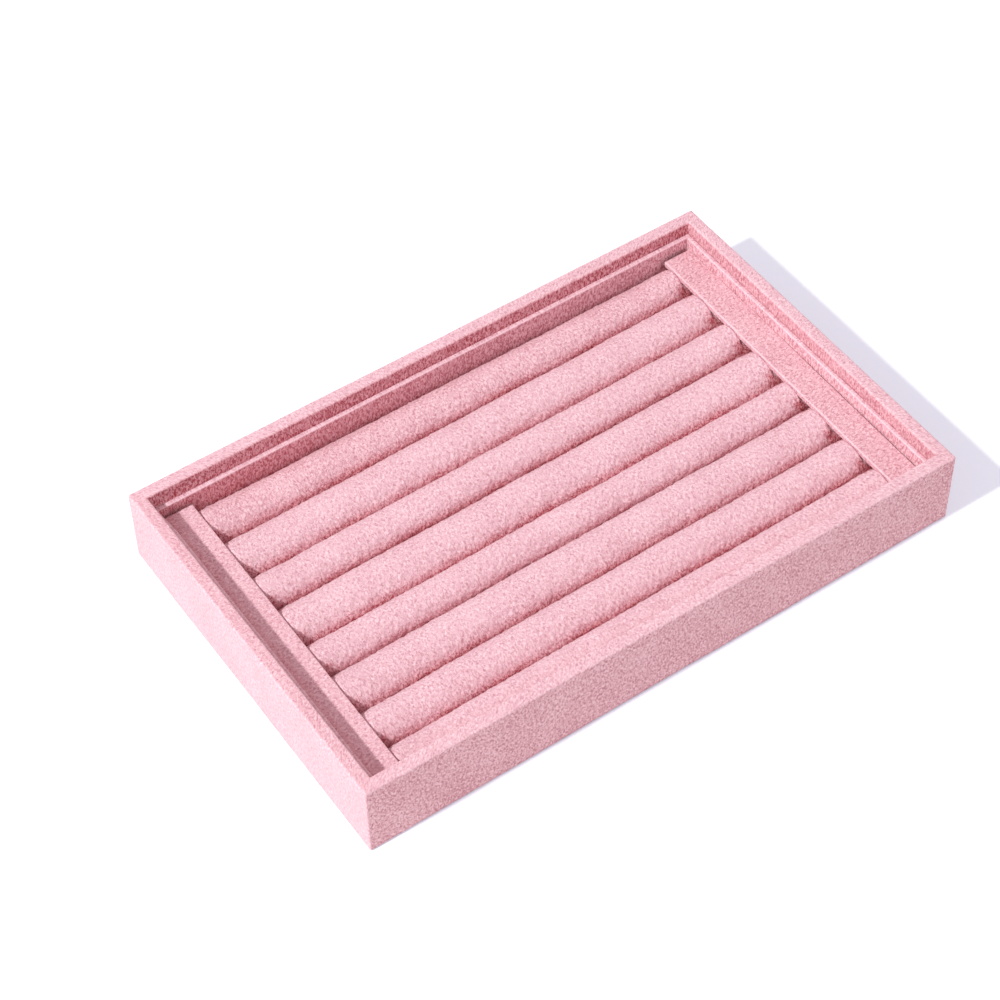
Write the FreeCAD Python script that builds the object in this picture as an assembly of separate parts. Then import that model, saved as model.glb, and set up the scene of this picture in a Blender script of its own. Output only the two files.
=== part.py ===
import FreeCAD, Part
import math
import os

# Velvet-covered ring tray, in millimetres. +X runs along the rolls, the front wall faces -Y, and +Z is up.
# The origin is the centre of the underside. The case is made to fit round the insert of foam rolls.

# Covering and seats
velvet = 0.6             # short-pile velvet, backing and pile together
fit = 0.1                # hairline beside a piece that drops in between others
glue_line = 0.05         # hairline between a curved core and its covering

# Insert: foam rolls in velvet sleeves on a card
roll_count = 8
roll_width = 15.7        # one roll, squeezed between its neighbours
roll_gap = 0.1           # where the sides of two rolls press together
roll_length = 211.3
roll_height = 14.2       # from the card to the crest
foot_round = 4.0         # lower corners of a roll
crown_fullness = 0.93    # crown rise over half the roll width, where 1 is a half circle
crown_flatness = 1.15    # crest radius over half the roll width
slot_drift = [0.9, -1.0, -0.4, -2.2, -0.4, -1.4, -1.2]  # wander of the slots towards the back, packed by hand
sleeve_seam = 1.0        # open seam under each roll
insert_card = 0.8

# End strips: covered boards that lie across the roll ends and press them down
strip_width = 10.6
strip_setback = 0.2      # from the roll ends to a centred strip's outer edge
strip_clearance = 0.15   # from the right strip to the liner: both strips are glued a little to the right
strip_end_gap = 1.0      # from the front and back of the insert to the strip's ends
strip_board = 1.0
strip_hem = 3.5          # velvet turned under along both long edges
strip_round = 0.8        # long outer edges of the covered strip
strip_press = 0.9        # how far a strip presses the roll ends down
press_fullness = 0.80    # crown of a roll under a strip
press_flatness = 1.80
press_ramp = 2.5         # length over which a roll swells back to its full crown

# Case: covered boards
case_height = 30.0
wall_board = 3.5
base_board = 2.4
board_round = 0.6        # eased top edges of the boards under the covering
board_corner = 0.9       # upright outside corners of the boards
hem_width = 12.0         # velvet turned under the base

# Liner: covered cards that stand inside the walls and make a ledge under the rim
liner_card = 0.5
ledge_drop = 6.0         # from the rim down to the ledge
insert_clearance = 0.45  # all round between the insert and the liner

# Underside felt, thinner where it laps the hem
felt_lap = 0.4
felt_margin = 3.0        # from the outside of the case to the edge of the felt
felt_corner = 4.0

# Sizes that follow
wall = wall_board + 2 * velvet
liner = liner_card + 2 * velvet
slot_pitch = roll_width + roll_gap
insert_width = roll_count * slot_pitch - roll_gap
strip_shift = strip_setback + insert_clearance - strip_clearance
surround = insert_clearance + liner + wall
case_length = roll_length + 2 * surround
case_width = insert_width + 2 * surround

# Heights of the layers, from the underside up
hem_bottom = felt_lap
base_bottom = hem_bottom + velvet
base_top = base_bottom + base_board
floor_top = base_top + velvet
card_top = floor_top + insert_card
strip_bottom = card_top + roll_height - strip_press + glue_line
ledge = case_height - ledge_drop

Vec = FreeCAD.Vector
tolerance = 1e-6


def block(length, width, bottom, top, centre=(0.0, 0.0)):
    """Upright block of the given plan size, centred at a point of the plan."""
    corner = Vec(centre[0] - length / 2, centre[1] - width / 2, bottom)
    return Part.makeBox(length, width, top - bottom, corner)


def is_upright(edge):
    return edge.BoundBox.XLength < tolerance and edge.BoundBox.YLength < tolerance


def lies_at(edge, height):
    return abs(edge.BoundBox.ZMin - height) < tolerance and abs(edge.BoundBox.ZMax - height) < tolerance


def runs_along_x(edge):
    return edge.BoundBox.YLength < tolerance and edge.BoundBox.ZLength < tolerance


def round_uprights(shape, radius):
    return shape.makeFillet(radius, [edge for edge in shape.Edges if is_upright(edge)])


def round_level(shape, height, radius):
    return shape.makeFillet(radius, [edge for edge in shape.Edges if lies_at(edge, height)])


def open_tray(length, width, bottom, top, floor, thickness, corner, rim_radius):
    """Tray with rounded upright corners and both edges of its rim eased."""
    body = round_uprights(block(length, width, bottom, top), corner)
    body = body.cut(block(length - 2 * thickness, width - 2 * thickness, floor, top + thickness))
    return round_level(body, top, rim_radius)


def case_pieces():
    """Four wall boards, the base board between them, and the one wrap over them all."""
    core_length = case_length - 2 * velvet
    core_width = case_width - 2 * velvet
    core = open_tray(core_length, core_width, base_bottom, case_height - velvet, base_top,
                     wall_board, board_corner, board_round)
    skin = open_tray(case_length, case_width, hem_bottom, case_height, base_top,
                     wall, board_corner + velvet, board_round + velvet)
    skin = round_level(skin, hem_bottom, velvet)
    window = block(case_length - 2 * hem_width, case_width - 2 * hem_width, hem_bottom, base_bottom)
    inner_length = core_length - 2 * wall_board
    inner_width = core_width - 2 * wall_board
    side_y = (core_width - wall_board) / 2
    side_x = (core_length - wall_board) / 2
    return {
        "outer_velvet_wrap": skin.cut(core).cut(window),
        "base_board": core.common(block(inner_length, inner_width, base_bottom, base_top)),
        "front_wall_board": core.common(block(core_length, wall_board, 0, case_height, (0, -side_y))),
        "back_wall_board": core.common(block(core_length, wall_board, 0, case_height, (0, side_y))),
        "left_wall_board": core.common(block(wall_board, inner_width, 0, case_height, (-side_x, 0))),
        "right_wall_board": core.common(block(wall_board, inner_width, 0, case_height, (side_x, 0))),
        "floor_velvet": block(inner_length - 2 * (velvet + fit), inner_width - 2 * (velvet + fit),
                              base_top, floor_top),
    }


def underside_felt():
    """Flat sheet to stand on: full thickness inside the hem, thinner over it."""
    lap = block(case_length - 2 * felt_margin, case_width - 2 * felt_margin, 0, felt_lap)
    pad_length = case_length - 2 * (hem_width + fit)
    pad_width = case_width - 2 * (hem_width + fit)
    pad = block(pad_length, pad_width, 0, base_bottom)
    return round_uprights(lap, felt_corner).fuse(pad).removeSplitter()


def liner_pair(length):
    """Card on edge along X and the velvet folded over its top, standing on the floor lining at y = 0."""
    card = block(length, liner_card, floor_top, ledge - velvet)
    cover = block(length, liner, floor_top, ledge)
    top_edges = [edge for edge in cover.Edges if lies_at(edge, ledge) and runs_along_x(edge)]
    cover = cover.makeFillet(velvet, top_edges)
    return card, cover.cut(card)


def liner_pieces():
    """Long liners run the whole inside length, and the end liners stand between them."""
    long_run = case_length - 2 * (wall + fit)
    end_run = case_width - 2 * (wall + liner + fit)
    long_y = case_width / 2 - wall - liner / 2
    end_x = case_length / 2 - wall - liner / 2
    places = {
        "front": (long_run, 0, Vec(0, -long_y, 0)),
        "back": (long_run, 0, Vec(0, long_y, 0)),
        "left": (end_run, 90, Vec(-end_x, 0, 0)),
        "right": (end_run, 90, Vec(end_x, 0, 0)),
    }
    pieces = {}
    for side, (run, turn, place) in places.items():
        for kind, shape in zip(("card", "velvet"), liner_pair(run)):
            shape.rotate(Vec(0, 0, 0), Vec(0, 0, 1), turn)
            shape.translate(place)
            pieces[f"{side}_liner_{kind}"] = shape
    return pieces


def roll_section(x, width, height, fullness, flatness, inset):
    """Outline of a roll at x: flat foot, round lower corners, straight sides and a three-centred crown.

    The inset draws the same outline smaller by a covering's thickness all round.
    """
    side = width / 2 - inset
    rise = fullness * width / 2 - inset
    crest_radius = flatness * width / 2 - inset
    shoulder_radius = (side ** 2 + rise ** 2 - 2 * rise * crest_radius) / (2 * (side - crest_radius))
    spring = height - fullness * width / 2
    foot = foot_round - inset
    shoulder_y = side - shoulder_radius
    lean = math.asin(shoulder_y / (crest_radius - shoulder_radius))
    half_lean = (lean + math.pi / 2) / 2
    join_y = shoulder_y + shoulder_radius * math.sin(lean)
    join_z = spring + shoulder_radius * math.cos(lean)
    shoulder_mid_y = shoulder_y + shoulder_radius * math.sin(half_lean)
    shoulder_mid_z = spring + shoulder_radius * math.cos(half_lean)
    foot_mid_y = side - foot + foot * math.sqrt(0.5)
    foot_mid_z = inset + foot - foot * math.sqrt(0.5)

    def at(y, z):
        return Vec(x, y, z)

    outline = [
        Part.LineSegment(at(foot - side, inset), at(side - foot, inset)),
        Part.Arc(at(side - foot, inset), at(foot_mid_y, foot_mid_z), at(side, inset + foot)),
        Part.LineSegment(at(side, inset + foot), at(side, spring)),
        Part.Arc(at(side, spring), at(shoulder_mid_y, shoulder_mid_z), at(join_y, join_z)),
        Part.Arc(at(join_y, join_z), at(0, spring + rise), at(-join_y, join_z)),
        Part.Arc(at(-join_y, join_z), at(-shoulder_mid_y, shoulder_mid_z), at(-side, spring)),
        Part.LineSegment(at(-side, spring), at(-side, inset + foot)),
        Part.Arc(at(-side, inset + foot), at(-foot_mid_y, foot_mid_z), at(foot - side, inset)),
    ]
    return Part.Wire([curve.toShape() for curve in outline])


def roll_body(width, inset):
    """Roll lying on z = 0, at its full crown between the strips and pressed down under them."""
    roll_end = roll_length / 2
    strip_edge = roll_end - strip_setback - strip_width
    left_edge = strip_shift - strip_edge
    right_edge = strip_shift + strip_edge
    stations = [(-roll_end, True), (left_edge, True), (left_edge + press_ramp, False),
                (right_edge - press_ramp, False), (right_edge, True), (roll_end, True)]
    sections = []
    for x, pressed in stations:
        if pressed:
            sections.append(roll_section(x, width, roll_height - strip_press,
                                         press_fullness, press_flatness, inset))
        else:
            sections.append(roll_section(x, width, roll_height, crown_fullness, crown_flatness, inset))
    return Part.makeLoft(sections, True, True)


def roll_pieces():
    """Foam cores and velvet sleeves of the rolls, counted from the back wall to the front."""
    edge = insert_width / 2
    slots = []
    for number in range(1, roll_count):
        drift = slot_drift[(number - 1) % len(slot_drift)]
        slots.append(edge - number * slot_pitch + roll_gap / 2 + drift)
    backs = [edge] + [slot - roll_gap / 2 for slot in slots]
    fronts = [slot + roll_gap / 2 for slot in slots] + [-edge]
    pieces = {}
    for number, (back, front) in enumerate(zip(backs, fronts), 1):
        width = back - front
        place = Vec(0, (back + front) / 2, card_top)
        foam = roll_body(width, velvet + glue_line)
        seam = block(roll_length, sleeve_seam, 0, velvet)
        sleeve = roll_body(width, 0).cut(roll_body(width, velvet)).cut(seam)
        for kind, shape in (("foam", foam), ("velvet", sleeve)):
            shape.translate(place)
            pieces[f"roll_{number}_{kind}"] = shape
    return pieces


def strip_pieces():
    """Boards across the roll ends, wrapped in velvet with hems turned under along both long edges."""
    board_bottom = strip_bottom + velvet
    board_top = board_bottom + strip_board
    strip_top = board_top + velvet
    strip_x = roll_length / 2 - strip_setback - strip_width / 2
    strip_length = insert_width - 2 * strip_end_gap
    pieces = {}
    for side, x in (("left", strip_shift - strip_x), ("right", strip_shift + strip_x)):
        board = block(strip_width - 2 * velvet, strip_length, board_bottom, board_top, (x, 0))
        cover = block(strip_width, strip_length, strip_bottom, strip_top, (x, 0))
        long_edges = [item for item in cover.Edges if item.BoundBox.YLength > strip_length / 2]
        cover = cover.makeFillet(strip_round, long_edges).cut(board)
        bare = block(strip_width - 2 * strip_hem, strip_length, strip_bottom, board_bottom, (x, 0))
        pieces[f"{side}_strip_board"] = board
        pieces[f"{side}_strip_velvet"] = cover.cut(bare)
    return pieces


def main():
    pieces = case_pieces()
    pieces["underside_felt"] = underside_felt()
    pieces.update(liner_pieces())
    pieces["insert_card"] = block(roll_length, insert_width, floor_top, card_top)
    pieces.update(roll_pieces())
    pieces.update(strip_pieces())
    os.makedirs("parts", exist_ok=True)
    for name, shape in pieces.items():
        shape.exportStep(f"parts/{name}.step")
    print(f"case {case_length:.2f} x {case_width:.2f} x {case_height:.2f} mm, {len(pieces)} pieces")


main()
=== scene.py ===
import math

import bpy
import numpy as np
from mathutils import Matrix, Vector


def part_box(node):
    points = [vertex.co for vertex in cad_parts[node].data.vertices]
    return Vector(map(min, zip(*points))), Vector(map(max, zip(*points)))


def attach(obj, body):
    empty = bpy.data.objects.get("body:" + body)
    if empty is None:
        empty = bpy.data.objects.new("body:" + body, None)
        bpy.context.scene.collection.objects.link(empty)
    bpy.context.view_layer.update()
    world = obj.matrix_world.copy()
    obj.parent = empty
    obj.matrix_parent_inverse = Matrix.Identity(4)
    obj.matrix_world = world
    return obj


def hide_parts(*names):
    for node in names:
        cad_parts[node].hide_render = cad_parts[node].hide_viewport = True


# Looks of a velvet-covered ring tray. Lengths are metres in the part's own frame:
# +X runs along the rolls, the front wall faces -Y, and +Z is up.
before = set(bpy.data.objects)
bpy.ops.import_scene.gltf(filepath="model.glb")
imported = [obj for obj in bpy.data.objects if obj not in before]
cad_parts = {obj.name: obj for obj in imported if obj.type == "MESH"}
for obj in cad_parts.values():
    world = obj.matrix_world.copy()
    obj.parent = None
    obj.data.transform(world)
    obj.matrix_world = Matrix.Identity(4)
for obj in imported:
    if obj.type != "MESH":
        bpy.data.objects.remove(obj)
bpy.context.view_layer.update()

MM = 0.001

# Construction, the same as in the solids
VELVET = 0.6 * MM            # covering, backing and pile together
HEM_WIDTH = 12.0 * MM
STRIP_HEM = 3.5 * MM
FOOT_ROUND = 4.0 * MM
SLEEVE_SEAM = 1.0 * MM
GLUE_LINE = 0.05 * MM
PRESS_RAMP = 2.5 * MM
STRIP_PRESS = 0.9 * MM
CROWN = (0.93, 1.15)         # fullness and flatness of a roll between the strips
PRESSED_CROWN = (0.80, 1.80)
FELT_CORNER = 4.0 * MM
ROLL_COUNT = 8

# Folds of the velvet, drawn tighter than in the solids
RIM_ROUND = 0.7 * MM
FOLD_ROUND = 0.5 * MM
STRIP_ROUND = 0.30 * MM
CASE_CORNER = 0.5 * MM
INNER_CORNER = 0.3 * MM

# Hand work that the solids leave out. Pairs are for the left end and the right end of the rolls.
SLOT_SHIFT = (0.0, -0.35 * MM, 0.05 * MM, -0.6 * MM, -0.1 * MM, -0.4 * MM, -0.7 * MM)   # back to front
SLOT_LEAN = 1.1 * MM         # the rolls lie a little askew, to the back at the right end
ROLL_WANDER = 0.22 * MM
CREST_WANDER = 0.5           # of that, up and down at the crests
WRAP_WANDER = 0.10 * MM
WANDER_CELL = 21 * MM
CREST_START = (0.35 * MM, 0.45 * MM)   # how far under a strip the crest starts to spring up
CREST_RAMP = (1.2 * MM, 0.7 * MM)      # how soon it is up
CREST_PART = (0.7, 0.5)      # part of the height above which a roll starts to rise with its crest
CREST_FADE = 0.3             # of the height, until it rises in full
SIDE_RAMP = 6.0 * MM
PINCH = 0.025                # of the roll's width, drawn in beside the strips
PINCH_PART = 0.5             # of the height, above which it is drawn in
BULGE = (0.75 * MM, 0.65 * MM)   # foam squeezed up beside the strips
BULGE_PART = 0.7
BULGE_RAMP = 3 * SIDE_RAMP
STRIP_SKEW = (0.13 * MM, -0.45 * MM)   # to the right at the back end, and at the front end
STRIP_FILL = 0.8             # of the gap beside the right strip, filled by its pile in the back half
STRIP_FILL_END = -10.0 * MM  # along Y
STRIP_FILL_FADE = 25.0 * MM
LEDGE_RISE = {               # at the left or front end, and at the other
    "front": (0, 0), "back": (-0.35 * MM, 0.9 * MM),
    "left": (0.7 * MM, 0.7 * MM), "right": (0.8 * MM, 0.8 * MM)}
LEDGE_RISE_FADE = 4 * MM     # down the liner
LOOSE_FOLD = 0.9 * MM        # how far the left liner's fold stands out from its card
LOOSE_FADE = 12 * MM         # to nothing at its back end

# Cloth simulation of the sleeves, which starts a little low and swells
SWELL_FRAMES = 20
SWELL_PRESSURE = 1500.0
SWELL_STIFFNESS = 5.0
SWELL_START = 0.2 * MM       # below the crown
SWELL_CAP = 0.6 * MM
SWELL_HOLD = 5.0 * MM        # the sleeve is held from this depth downwards
SWELL_EDGE = 0.6 * MM        # and up to this far from the strips
SWELL_FADE = 3.0 * MM
SWELL_MESH = (80, 33)        # points along a roll and round it

# Tufts raised in the mesh
PILE = 0.07 * MM
FLANK_PILE = 0.30 * MM       # between the rolls, where the pile stands free
FLANK_START = 0.3 * MM       # below the crest
FLANK_FADE = 1.4 * MM
TUFT = 1.4 * MM
TUFT_PART = 0.6
FIBRE = 0.6 * MM
FIBRE_PART = 0.5
FELT_TUFT = 0.05 * MM
LATTICE = 48

# Pattern of the pile, in the material
LAYER = 0.37                 # metres apart, so that no two pieces show the same stretch of it
GRAIN_TURN = 0.6             # radians, so that the pattern's own grid lies along no edge
STROKE = (1.0, 0.68, 1.0)    # the tufts are longer across the rolls and strips and down the walls
WALL_STROKE = 1.7            # longer still on the inside of the walls
TUFT_SCALE = 1540
FIBRE_SCALE = 3600
BRUSH_SCALE = 80
TIP_LIGHT = 1.4              # how much less painted shade the tips take than the gaps

# Contrast of the pattern, and what is added to it
GRAIN = 0.70
INSIDE_GRAIN = (1.7, 0.45)   # inside of the long walls, and of the end walls
OUTSIDE_GRAIN = (-0.16, 0.70)   # outside of the left wall, and of the others
LINER_GRAIN = (1.45, 0.70)   # long liners, and end liners
FLANK_GRAIN = 1.6            # where a roll's painted shade is full
STRIP_GRAIN = {"left": 0.0, "right": 0.16}
FLOOR_GRAIN = 0.5

# Painted shade: a deeper tint from 0 to 1 where the velvet lies in shade, and plain darkening on some pieces
INSIDE_SHADE = (0.61, 0.38)    # inside of the long walls, and of the end walls
OUTSIDE_SHADE = (0.02, 0.10)   # outside of the left wall, and of the others
OUTSIDE_START = 0.3 * MM     # below the rim
OUTSIDE_FADE = 1.0 * MM
RIM_DARKENING = (0.14, 0.03)       # left rim, and the others
RIM_FADE = 0.5 * MM
LEDGE_SHADE = 0.25             # painted shade in the crease just above the ledge
LEDGE_FADE = 1.1 * MM
BOTTOM_SHADE = 0.5             # painted shade along the bottom of three outsides
BOTTOM_FADE = 1.2 * MM
LINER_SHADE = {                # at the left or front end, and at the other
    "front": (0.30, 0.30), "back": (0.60, 0.13), "left": (0.37, 0.37), "right": (0.18, 0.18)}
LINER_FADE = 1.2 * MM
SIDE_SHADE_SCALE = (0.85, 0.93, 1.0, 1.2, 0.7, 0.95, 1.2, 1.0)   # strength of the painted shade down each roll's sides
SIDE_SHADE = 0.75
SIDE_SHADE_START = 1.9 * MM      # below the crest
SIDE_SHADE_FADE = 4.4 * MM
SIDE_SHADE_CHANGE = 0.3
SIDE_SHADE_CELL = 7 * MM
# more painted shade on the roll beside the back wall
BACK_ROLL_SHADE = 0.09
FRONT_FADE = 5 * MM          # over this the last roll's painted shade turns to a painted highlight towards the front wall
END_SHADOW = 0.9                # painted shadow beside the strips
END_SHADE = (6.0 * MM, 5.5 * MM)   # beside the left strip, and the right one
END_START = 0.6 * MM         # below the crest
END_FADE = 2.5 * MM
# darker tint on each strip
STRIP_DARKENING = {"left": 0.10, "right": 0.16}
STRIP_EDGE_SHADE = 0.3         # painted shade at the outer edge of the left strip, beside its liner
STRIP_EDGE_FADE = 4.5 * MM
# darker tint on the floor lining
FLOOR_DARKENING = 0.3

# Folds painted paler, partly as worn pile and partly as painted highlight
RIM_WEAR_AND_HIGHLIGHT = (0.3, 0.6)        # outer fold, and inner fold
RIM_FOLD_REACH = 0.9 * MM
LEDGE_WEAR_AND_HIGHLIGHT = {"front": 0.9, "back": 0.9, "left": 0.4, "right": 0.9}
LEDGE_FOLD_REACH = 0.6 * MM
STRIP_WEAR_AND_HIGHLIGHT = {"left": (0.65, 0.5), "right": (1.0, 0.5)}   # left fold, and right fold
STRIP_FOLD_REACH = 0.5 * MM
FRONT_HIGHLIGHT = 0.35            # painted highlight on the last roll, towards the front wall

# Seeds of the random patterns. Pieces of one kind take every second number from theirs on.
WRAP_WANDER_SEED = 3
ROLL_WANDER_SEED = 5
SIDE_SHADE_SEED = 7
WRAP_SEED = 11
FLOOR_SEED = 17
FELT_SEED = 23
SLEEVE_SEED = 32
LINER_SEED = 60
STRIP_SEED = 80

# Mesh spacing
FINE = 0.44 * MM
WRAP_FINE = 0.64 * MM
WALL_STEP = 0.9 * MM
FOLD_STEP = 0.25 * MM
SLAB_STEP = 1.3 * MM
COARSE = 2.2 * MM
HIDDEN_STEP = 3 * COARSE
MAP_GAP = 1.0 * MM
MARGIN = 0.1 * MM            # less than the velvet's thickness
CORNER_POINTS = 3
SLEEVE_COUNTS = (4, 5, 5, 21, 8)   # points along half a roll's foot, bend, side, shoulder and crest
LINING_COUNTS = (2, 3, 2, 6, 3)
CORE_COUNTS = (3, 3, 2, 6, 3)

# Colours, linear
TIP_PINK = (0.90, 0.66, 0.71)
BODY_PINK = (0.75, 0.47, 0.525)
GAP_ROSE = (0.56, 0.27, 0.32)
SHADE_ROSE = (0.76, 0.30, 0.32)     # tint of the painted shade
LINER_ROSE = (0.95, 0.42, 0.44)   # the same on the liners
WEAR_AND_HIGHLIGHT_PINK = (0.90, 0.63, 0.68)    # paler along the folds: partly rubbed pile, partly painted highlight
SHEEN_TINT = (1.0, 0.95, 0.97)

# Light and view
KEY_PLACE = (-2.55, 0.0, 2.71)
KEY_SIZE = 0.20
KEY_POWER = 114.0
KEY_COLOUR = (0.93, 1.0, 0.99)
SKY_COLOUR = (1.0, 0.84, 0.87)
SKY_STRENGTH = 0.69
FLOOR_SIZE = 8.0
FLOOR_GREY = 0.92
FLOOR_LIFT = (0.149, 0.233, 0.309)   # added where the floor is seen, so that the lit floor is white
FLOOR_NEAR = 0.30            # beyond this the floor turns to plain white
FLOOR_FAR = 0.60
AZIMUTH = math.radians(-33.591)
ELEVATION = math.radians(49.904)
ROLL = math.radians(-1.329)
LENS = 96.73                 # millimetres, on a 36 mm sensor
VIEW_SHIFT = (14.178 * MM, -11.587 * MM, -880.532 * MM)   # the origin, seen from the camera


# Lines, arcs and meshes

def line(start, end, step):
    """Points from start towards end, without the end."""
    count = max(1, math.ceil(math.dist(start, end) / step))
    share = np.arange(count)[:, None] / count
    return (1 - share) * np.array(start) + share * np.array(end)


def arc(centre, radius, begin, end, step):
    """Points of an arc between two angles in degrees, without its last point."""
    count = max(2, math.ceil(abs(math.radians(end - begin)) * radius / step))
    turn = np.radians(begin + (end - begin) * np.arange(count) / count)
    return np.array(centre) + radius * np.stack([np.cos(turn), np.sin(turn)], axis=1)


def smooth(share):
    """Soft step from 0 to 1."""
    share = np.clip(share, 0, 1)
    return share * share * (3 - 2 * share)


def lattice_noise(points, cell, seed):
    """Smooth noise from -1 to 1 with bumps about one cell wide."""
    table = np.random.default_rng(seed).uniform(-1, 1, (LATTICE,) * 3)
    place = points / cell
    low = np.floor(place).astype(int)
    share = smooth(place - low)
    total = np.zeros(len(points))
    for corner in np.ndindex(2, 2, 2):
        weight = np.prod(np.where(corner, share, 1 - share), axis=1)
        total += weight * table[tuple(((low + corner) % LATTICE).T)]
    return total


def signed_volume(points, faces):
    """Six times the volume inside a closed run of quads, below zero if they face inwards."""
    a, b, c, d = (points[faces[:, corner]] for corner in range(4))
    return np.sum(a * np.cross(b, c)) + np.sum(a * np.cross(c, d))


def run_lengths(grid, axis):
    """Mean distance along one direction of a grid, from its first line to each line."""
    steps = np.linalg.norm(np.diff(grid, axis=axis), axis=2).mean(axis=1 - axis)
    return np.concatenate([[0.0], np.cumsum(steps)])


def cell_corners(table):
    """Values of a table at the four corners of each of its cells."""
    return np.stack([table[:-1, :-1], table[:-1, 1:], table[1:, 1:], table[1:, :-1]], axis=2)


def lay_map(mesh, closed, order, outlines):
    """Flat map of a grid's faces for baking: the length in bands above each other, then the end faces."""
    down, across = np.broadcast_arrays(run_lengths(closed, 0)[:, None], run_lengths(closed, 1)[None])
    long, short = (down, across) if down.max() > across.max() else (across, down)
    length, width = long.max(), short.max()
    bands = max(1, round(math.sqrt(length / width)))
    long = cell_corners(long).reshape(-1, 4)
    band = np.minimum(long.mean(axis=1) * bands / length, bands - 1).astype(int)[:, None]
    u = long - band * length / bands + MAP_GAP
    v = cell_corners(short).reshape(-1, 4) + band * (width + MAP_GAP)
    places = [np.stack([u, v], axis=2)[:, order].reshape(-1, 2)]
    corner = np.array([MAP_GAP, bands * (width + MAP_GAP)])
    for outline in outlines:
        flat = outline[:, np.argsort(np.ptp(outline, axis=0))[1:]]
        places.append(flat - flat.min(axis=0) + corner)
        corner[0] += np.ptp(flat[:, 0]) + MAP_GAP
    places = np.concatenate(places)
    layer = mesh.uv_layers.new(name="OFBake")
    layer.data.foreach_set("uv", (places / (places.max() + MAP_GAP)).astype(np.float32).ravel())


def grid_piece(name, grid, close_rows=False):
    """Piece whose mesh has rows of points, each row a closed loop. Open runs of rows get end faces."""
    rows, columns, _ = grid.shape
    points = grid.reshape(-1, 3)
    index = np.arange(rows * columns).reshape(rows, columns)
    ends = [] if close_rows else [index[0, ::-1], index[-1]]
    index = np.hstack([index, index[:, :1]])
    if close_rows:
        index = np.vstack([index, index[:1]])
    quads = cell_corners(index).reshape(-1, 4)
    order = slice(None, None, -1 if signed_volume(points, quads) < 0 else 1)
    ends = [end[order] for end in ends]
    faces = quads[:, order].tolist() + [end.tolist() for end in ends]
    mesh = bpy.data.meshes.new(name)
    mesh.from_pydata(points, [], faces)
    mesh.polygons.foreach_set("use_smooth", np.ones(len(faces), bool))
    lay_map(mesh, points[index], order, [points[end] for end in ends])
    piece = bpy.data.objects.new(name, mesh)
    bpy.context.scene.collection.objects.link(piece)
    return piece


def mark(piece, name, kind, values):
    """Stores a value at each point, for the material to read."""
    layer = piece.data.attributes.new(name, kind, "POINT")
    field = "vector" if kind == "FLOAT_VECTOR" else "value"
    layer.data.foreach_set(field, np.ascontiguousarray(values, np.float32).ravel())


def push_out(piece, distance):
    """Moves each point of a piece along its normal."""
    mesh = piece.data
    count = len(mesh.vertices)
    points = np.empty(count * 3)
    normals = np.empty(count * 3)
    mesh.vertices.foreach_get("co", points)
    mesh.vertex_normals.foreach_get("vector", normals)
    points += normals * np.repeat(distance, 3)
    mesh.vertices.foreach_set("co", points)
    mesh.update()


def points_of(piece):
    points = np.empty(len(piece.data.vertices) * 3)
    piece.data.vertices.foreach_get("co", points)
    return points.reshape(-1, 3)


def grow_pile(piece, height, seed):
    """Raises tufts of the given height at each point, nought where the velvet doesn't show."""
    points = points_of(piece)
    tufts = TUFT_PART * lattice_noise(points, TUFT, seed)
    tufts += FIBRE_PART * lattice_noise(points, FIBRE, seed + 1)
    push_out(piece, np.ravel(height) * tufts)


def fold_wear_and_highlight(section, reach, *folds):
    """How pale each point of a section is painted near its folds, as worn pile and painted highlight, from
    (corner, strength) pairs.
    """
    wear_and_highlight = np.zeros(len(section))
    for corner, strength in folds:
        away = np.linalg.norm(section - corner, axis=1)
        wear_and_highlight = np.maximum(wear_and_highlight, strength * (1 - smooth(away / reach)))
    return wear_and_highlight


def make_velvet(piece, grid, strokes, height, painted_shade, wear_and_highlight, seed, coarse, stretch=1.0):
    """Raises the pile of a grid piece and marks its painted shade, its wear and painted highlight, and its
    coarseness.

    The strokes run across the rows (0) or round them (1), stretched by a factor for each line they cross.
    """
    runs = [run_lengths(grid, 0)[:, None], run_lengths(grid, 1)[None]]
    steps = np.diff(np.ravel(runs[strokes]), prepend=0.0) / stretch
    runs[strokes] = np.cumsum(steps).reshape(runs[strokes].shape)
    place = np.broadcast_arrays(runs[1 - strokes] + seed * LAYER, runs[strokes], coarse + 0 * grid[:, :, 0])
    mark(piece, "pile", "FLOAT_VECTOR", np.stack(place, axis=-1))
    mark(piece, "painted_shade", "FLOAT", np.broadcast_to(painted_shade, grid.shape[:2]))
    mark(piece, "wear_and_highlight", "FLOAT", np.broadcast_to(wear_and_highlight, grid.shape[:2]))
    grow_pile(piece, np.broadcast_to(height, grid.shape[:2]), seed)


def dress(piece, body, slot, material, *nodes):
    """Gives a piece its material and the body it rides on, and hides the solids it stands for."""
    piece.data.materials.append(material)
    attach(piece, body)
    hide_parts(*nodes)


# Materials

def add_node(tree, kind, inputs=None, **settings):
    """New node with its settings, and with its inputs set or linked."""
    node = tree.nodes.new(kind)
    for name, value in settings.items():
        setattr(node, name, value)
    for name, value in (inputs or {}).items():
        if isinstance(value, bpy.types.NodeSocket):
            tree.links.new(value, node.inputs[name])
        else:
            node.inputs[name].default_value = value
    return node


def new_material(name):
    material = bpy.data.materials.new(name)
    material.use_nodes = True
    material.node_tree.nodes.clear()
    return material, material.node_tree


def noise(tree, place, scale, detail=2.0, roughness=0.5, dimensions="3D", distortion=0.0):
    node = add_node(tree, "ShaderNodeTexNoise", {
        "Vector": place, "Scale": scale, "Detail": detail, "Roughness": roughness, "Distortion": distortion,
    }, noise_dimensions=dimensions)
    return node.outputs["Fac"]


def math_node(tree, operation, *values):
    node = add_node(tree, "ShaderNodeMath", dict(enumerate(values)), operation=operation)
    return node.outputs[0]


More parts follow.
